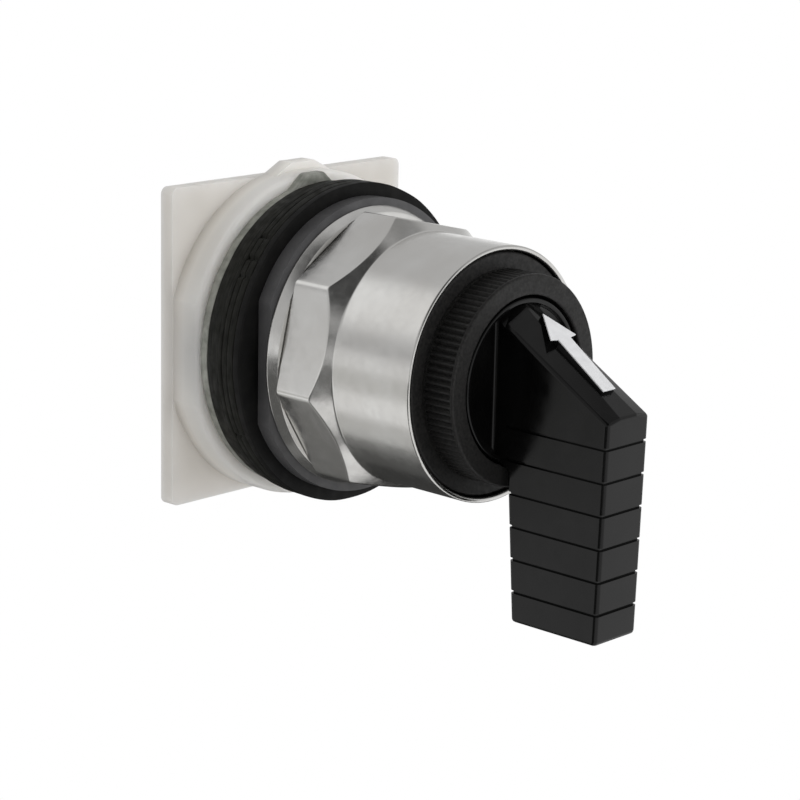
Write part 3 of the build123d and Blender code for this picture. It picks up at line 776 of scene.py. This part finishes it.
def uneven_rim(waves, nicks):
    """A radius_at function for a rim with small waves and nicks."""
    def radius_at(angle, radius, _):
        if radius == GASKET_BORE_R:
            return radius
        for middle, depth in nicks:
            away = abs((degrees(angle) - middle + 180) % 360 - 180) / NICK_HALF_ANGLE
            radius -= depth * max(0, 1 - away)
        return radius + sum(size * sin(count * angle + phase) for count, size, phase in waves)

    return radius_at


def add_gaskets():
    """The five gaskets, with soft edges and slightly uneven rims, two of them nicked."""
    draw = random.Random(7)
    for node, back_r, front_r, material, nicked in GASKETS:
        waves = [(count, draw.uniform(-WAVE_HEIGHT, WAVE_HEIGHT), draw.uniform(0, 2 * pi))
                 for count in WAVE_COUNTS]
        back, front = stations(node)
        back = max(back, WASHER_FRONT) + GASKET_GAP
        front -= GASKET_GAP
        profile = rounded([(GASKET_BORE_R, back, 0), (back_r, back, GASKET_EDGE_R),
                           (front_r, front, GASKET_EDGE_R), (GASKET_BORE_R, front, 0)], RIM_STEPS)
        rim = uneven_rim(waves, NICKS if nicked else ())
        gasket = new_object(node + "_skin", turned(node, profile, RIM_SIDES, rim), material)
        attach(gasket, "housing")
        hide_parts(node)


add_knob(node_materials["knob"])
add_arrow(node_materials["arrow_insert"])
add_ring_nut(chrome)
add_washer(node_materials["locating_washer"])
add_gaskets()


# Floor, light and camera, in metres but for the lamp and the camera

FLOOR_HEIGHT = -0.16
FLOOR_HALF = 3.0
FLAG_HEIGHT = -0.155
SENSOR_MM = 36

# Name, lowest corner, highest corner and tone of each card that the chrome mirrors
FLAGS = [
    ("dark_flag", (0.03, -0.03), (0.60, 0.60), 0.045),
    ("dusk_flag", (-0.025, -0.03), (0.03, 0.60), 0.10),
    ("half_flag", (-0.06, -0.03), (-0.025, 0.60), 0.22),
    ("grey_flag", (-0.145, 0.05), (-0.06, 0.25), 0.62),
    ("front_flag", (-1.8, -1.8), (-0.28, -0.28), 0.16),
    ("left_flag", (-1.8, -0.27), (-0.24, 0.045), 0.13),
    ("near_left_flag", (-0.24, -0.10), (-0.06, 0.045), 0.13),
    ("far_grey_flag", (-1.6, 0.27), (-0.30, 1.5), 0.66),
]

# Direction, angles of its middle and edge in degrees, and added brightness
PATCHES = [
    ((-0.42, 0.68, 0.60), 8, 24, 0.42),
    ((-0.24, -0.56, 0.79), 20, 38, -0.55),
    ((-0.80, -0.60, 0.10), 6, 20, -0.42),
    ((0.54, -0.20, 0.81), 6, 18, -0.30),
    ((-0.73, 0.68, 0.03), 6, 15, -0.13),
]
DARKEST = 0.06


def seen_directly(nodes, links):
    """1 for camera, glossy and transmission rays, so that metal shows what the camera sees."""
    path = nodes.new("ShaderNodeLightPath")
    seen = path.outputs["Is Camera Ray"]
    for kind in ("Is Glossy Ray", "Is Transmission Ray"):
        either = nodes.new("ShaderNodeMath")
        either.operation = "MAXIMUM"
        links.new(seen, either.inputs[0])
        links.new(path.outputs[kind], either.inputs[1])
        seen = either.outputs["Value"]
    return seen


def level_mesh(name, low, high, height):
    """A level rectangle, in metres."""
    mesh = bpy.data.meshes.new(name)
    corners = [(low[0], low[1]), (high[0], low[1]), (high[0], high[1]), (low[0], high[1])]
    mesh.from_pydata([(x, y, height) for x, y in corners], [], [(0, 1, 2, 3)])
    return mesh


def add_floor():
    """A pale floor well below the head, which its panel holds in the air."""
    material = bpy.data.materials.new("studio_floor")
    material.use_nodes = True
    nodes = material.node_tree.nodes
    links = material.node_tree.links
    matt = nodes["Principled BSDF"]
    matt.inputs["Base Color"].default_value = (0.8, 0.8, 0.8, 1)
    matt.inputs["Roughness"].default_value = 0.8
    white = nodes.new("ShaderNodeEmission")
    mix = nodes.new("ShaderNodeMixShader")
    links.new(seen_directly(nodes, links), mix.inputs["Fac"])
    links.new(matt.outputs["BSDF"], mix.inputs[1])
    links.new(white.outputs["Emission"], mix.inputs[2])
    links.new(mix.outputs["Shader"], nodes["Material Output"].inputs["Surface"])
    mesh = level_mesh("floor", (-FLOOR_HALF, -FLOOR_HALF), (FLOOR_HALF, FLOOR_HALF), FLOOR_HEIGHT)
    new_object("floor", mesh, material)


def add_flag(name, low, high, tone):
    """A studio card out of the camera's sight, whose tone shows in the chrome."""
    material = bpy.data.materials.new(name)
    material.use_nodes = True
    nodes = material.node_tree.nodes
    links = material.node_tree.links
    card = nodes.new("ShaderNodeEmission")
    card.inputs["Color"].default_value = (tone, tone, 0.98 * tone, 1)
    links.new(card.outputs["Emission"], nodes["Material Output"].inputs["Surface"])
    flag = new_object(name, level_mesh(name, low, high, FLAG_HEIGHT), material)
    flag.visible_camera = False
    flag.visible_diffuse = False
    flag.visible_shadow = False


def sky_patch(nodes, links, direction, patch):
    """Added brightness round one direction, from its middle out to its edge in degrees."""
    toward, middle, edge, amount = patch
    facing = nodes.new("ShaderNodeVectorMath")
    facing.operation = "DOT_PRODUCT"
    facing.inputs[1].default_value = Vector(toward).normalized()
    links.new(direction, facing.inputs[0])
    span = nodes.new("ShaderNodeMapRange")
    span.interpolation_type = "SMOOTHSTEP"
    span.inputs["From Min"].default_value = cos(radians(edge))
    span.inputs["From Max"].default_value = cos(radians(middle))
    span.inputs["To Min"].default_value = 0
    span.inputs["To Max"].default_value = amount
    links.new(facing.outputs["Value"], span.inputs["Value"])
    return span.outputs["Result"]


def add_world(light, sky, horizon):
    """White up to the horizon, a grey tent above it with brighter and darker patches."""
    world = bpy.data.worlds.new("studio")
    world.use_nodes = True
    nodes = world.node_tree.nodes
    links = world.node_tree.links
    direction = nodes.new("ShaderNodeTexCoord").outputs["Generated"]
    split = nodes.new("ShaderNodeSeparateXYZ")
    links.new(direction, split.inputs["Vector"])
    rise = nodes.new("ShaderNodeMapRange")
    rise.interpolation_type = "SMOOTHSTEP"
    rise.inputs["From Min"].default_value = horizon[0]
    rise.inputs["From Max"].default_value = horizon[1]
    rise.inputs["To Min"].default_value = 1
    rise.inputs["To Max"].default_value = sky
    links.new(split.outputs["Z"], rise.inputs["Value"])
    level = rise.outputs["Result"]
    for patch in PATCHES:
        total = nodes.new("ShaderNodeMath")
        links.new(level, total.inputs[0])
        links.new(sky_patch(nodes, links, direction, patch), total.inputs[1])
        level = total.outputs["Value"]
    floored = nodes.new("ShaderNodeMath")
    floored.operation = "MAXIMUM"
    floored.inputs[1].default_value = DARKEST
    links.new(level, floored.inputs[0])
    tent = nodes["Background"]
    tent.inputs["Strength"].default_value = light
    tent.inputs["Color"].default_value = (1.0, 0.985, 0.965, 1)
    backdrop = nodes.new("ShaderNodeBackground")
    backdrop.inputs["Color"].default_value = (1, 1, 1, 1)
    links.new(floored.outputs["Value"], backdrop.inputs["Strength"])
    mix = nodes.new("ShaderNodeMixShader")
    links.new(seen_directly(nodes, links), mix.inputs["Fac"])
    links.new(tent.outputs["Background"], mix.inputs[1])
    links.new(backdrop.outputs["Background"], mix.inputs[2])
    links.new(mix.outputs["Shader"], nodes["World Output"].inputs["Surface"])
    bpy.context.scene.world = world


def add_softbox(name, place_mm, aim_mm, width_mm, height_mm, watts):
    """A rectangular soft light that faces a point of the object."""
    light = bpy.data.lights.new(name, "AREA")
    light.shape = "RECTANGLE"
    light.size = width_mm * MM
    light.size_y = height_mm * MM
    light.energy = watts
    lamp = bpy.data.objects.new(name, light)
    place = Vector(place_mm) * MM
    aim = Vector(aim_mm) * MM
    lamp.location = place
    lamp.rotation_euler = (aim - place).to_track_quat("-Z", "Y").to_euler()
    lamp.visible_glossy = False
    bpy.context.collection.objects.link(lamp)


def add_camera(place_mm, azimuth, elevation, roll, focal_px, frame_px):
    """The photograph's camera: azimuth from -Y towards +X, elevation down, roll clockwise."""
    turn = Matrix.Rotation(radians(azimuth), 4, "Z")
    tilt = Matrix.Rotation(radians(90 - elevation), 4, "X")
    level = Matrix.Rotation(radians(roll), 4, "Z")
    camera = bpy.data.cameras.new("camera")
    camera.sensor_width = SENSOR_MM
    camera.lens = SENSOR_MM * focal_px / frame_px
    camera.clip_start = 0.01
    viewer = bpy.data.objects.new("camera", camera)
    viewer.matrix_world = Matrix.Translation(Vector(place_mm) * MM) @ turn @ tilt @ level
    bpy.context.collection.objects.link(viewer)
    bpy.context.scene.camera = viewer


add_floor()
for flag in FLAGS:
    add_flag(*flag)
add_world(light=0.62, sky=0.60, horizon=(0.06, 0.2))
add_softbox("front", place_mm=(150, -560, 160), aim_mm=(0, -20, 0), width_mm=500, height_mm=400,
            watts=1.9)
add_camera((-259.59, -257.37, 80.61), azimuth=-47.041, elevation=13.809, roll=1.226,
           focal_px=2681.4, frame_px=800)
bpy.context.scene.view_settings.view_transform = "Standard"
